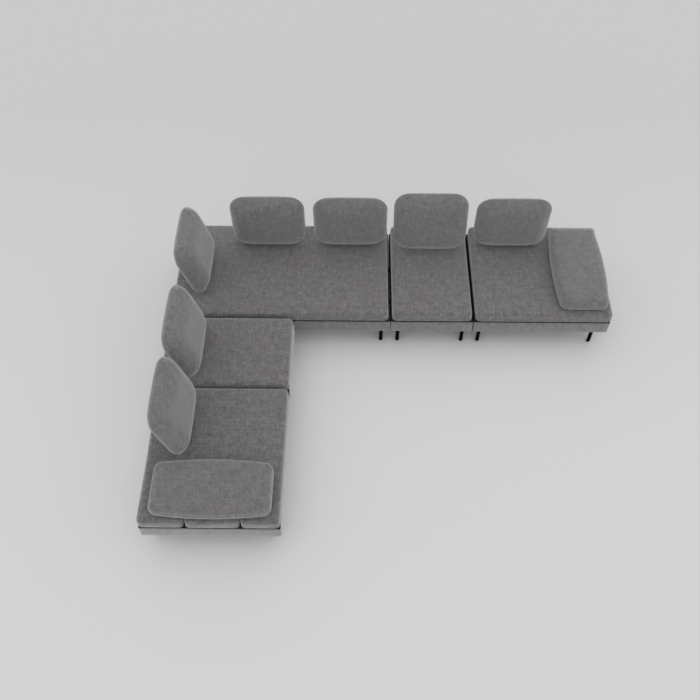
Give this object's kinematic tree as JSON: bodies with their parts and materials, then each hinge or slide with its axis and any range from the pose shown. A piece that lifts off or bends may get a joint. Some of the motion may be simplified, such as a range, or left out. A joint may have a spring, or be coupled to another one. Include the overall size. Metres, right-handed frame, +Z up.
{
  "type": "sofa",
  "caption": "Corner sofa of joined upholstered units on slim legs, with rounded back pads that tilt on steel stands and flat arm pads that swing up from the seat.",
  "frame": {"origin": "middle of the bounding box, on the floor under the glides", "axes": "+X along the long row towards the end unit, +Y from the front of the sofa to the back of the long row, +Z up"},
  "size_m": [3.537, 2.768, 0.9429],
  "materials": {
    "seat_fabric": "soft warm grey weave",
    "base_fabric": "soft warm grey weave",
    "pad_fabric": "soft warm grey weave",
    "black_cloth": "matte",
    "black_steel": "satin powder coat",
    "zinc_steel": "zinc plated",
    "birch": "bare plywood",
    "pine": "bare",
    "black_plastic": "matte"
  },
  "bodies": {
    "base": {"corner_seat_cushion": "seat_fabric", "middle_seat_cushion": "seat_fabric", "right_end_seat_cushion": "seat_fabric", "side_seat_cushion": "seat_fabric", "front_end_seat_cushion": "seat_fabric", "corner_base_cover": "base_fabric", "middle_base_cover": "base_fabric", "right_end_base_cover": "base_fabric", "side_base_cover": "base_fabric", "front_end_base_cover": "base_fabric", "corner_frame": "pine", "middle_frame": "pine", "right_end_frame": "pine", "side_frame": "pine", "front_end_frame": "pine", "corner_side_back_stand": "black_steel", "corner_left_back_stand": "black_steel", "corner_right_back_stand": "black_steel", "middle_back_stand": "black_steel", "right_end_back_stand": "black_steel", "side_back_stand": "black_steel", "front_end_back_stand": "black_steel", "right_end_arm_straps": "black_steel", "front_end_arm_straps": "black_steel", "back_hinge_pins": "zinc_steel", "seat_slats": "birch", "dust_covers": "black_cloth", "legs": "black_steel", "leg_glides": "black_plastic", "joining_plates": "black_steel", "frame_screws": "zinc_steel"},
    "corner_side_back_pad": {"corner_side_back_cushion": "pad_fabric", "corner_side_back_panel": "base_fabric", "corner_side_back_hinge": "black_steel"},
    "corner_left_back_pad": {"corner_left_back_cushion": "pad_fabric", "corner_left_back_panel": "base_fabric", "corner_left_back_hinge": "black_steel"},
    "corner_right_back_pad": {"corner_right_back_cushion": "pad_fabric", "corner_right_back_panel": "base_fabric", "corner_right_back_hinge": "black_steel"},
    "middle_back_pad": {"middle_back_cushion": "pad_fabric", "middle_back_panel": "base_fabric", "middle_back_hinge": "black_steel"},
    "right_end_back_pad": {"right_end_back_cushion": "pad_fabric", "right_end_back_panel": "base_fabric", "right_end_back_hinge": "black_steel"},
    "side_back_pad": {"side_back_cushion": "pad_fabric", "side_back_panel": "base_fabric", "side_back_hinge": "black_steel"},
    "front_end_back_pad": {"front_end_back_cushion": "pad_fabric", "front_end_back_panel": "base_fabric", "front_end_back_hinge": "black_steel"},
    "right_end_arm_pad": {"right_end_arm_cushion": "pad_fabric", "right_end_arm_frame": "black_steel"},
    "front_end_arm_pad": {"front_end_arm_cushion": "pad_fabric", "front_end_arm_frame": "black_steel"}
  },
  "joints": [
    {"name": "corner_side_back_tilt", "type": "hinge", "parent": "base", "child": "corner_side_back_pad", "pos_m": [-1.6635, 0.833, 0.6785], "axis": [0, -1, 0], "range_deg": [-17.5, 1.5]},
    {"name": "corner_left_back_tilt", "type": "hinge", "parent": "base", "child": "corner_left_back_pad", "pos_m": [-1.0195, 1.255, 0.6785], "axis": [-1, 0, 0], "range_deg": [-2, 17]},
    {"name": "corner_right_back_tilt", "type": "hinge", "parent": "base", "child": "corner_right_back_pad", "pos_m": [-0.3395, 1.255, 0.6785], "axis": [-1, 0, 0], "range_deg": [-0.5, 18.5]},
    {"name": "middle_back_tilt", "type": "hinge", "parent": "base", "child": "middle_back_pad", "pos_m": [0.3225, 1.238, 0.6785], "axis": [-1, 0, 0], "range_deg": [-16, 3]},
    {"name": "right_end_back_tilt", "type": "hinge", "parent": "base", "child": "right_end_back_pad", "pos_m": [0.9955, 1.255, 0.6785], "axis": [-1, 0, 0], "range_deg": [-0.5, 18.5]},
    {"name": "side_back_tilt", "type": "hinge", "parent": "base", "child": "side_back_pad", "pos_m": [-1.6395, 0.017, 0.6785], "axis": [0, -1, 0], "range_deg": [-18, 1]},
    {"name": "front_end_back_tilt", "type": "hinge", "parent": "base", "child": "front_end_back_pad", "pos_m": [-1.6395, -0.636, 0.6785], "axis": [0, -1, 0], "range_deg": [-18, 1]},
    {"name": "right_end_arm_swing", "type": "hinge", "parent": "base", "child": "right_end_arm_pad", "pos_m": [1.7125, 0.86, 0.4696], "axis": [0, 1, 0], "range_deg": [0, 85]},
    {"name": "front_end_arm_swing", "type": "hinge", "parent": "base", "child": "front_end_arm_pad", "pos_m": [-1.2545, -1.328, 0.4696], "axis": [1, 0, 0], "range_deg": [0, 85]}
  ]
}
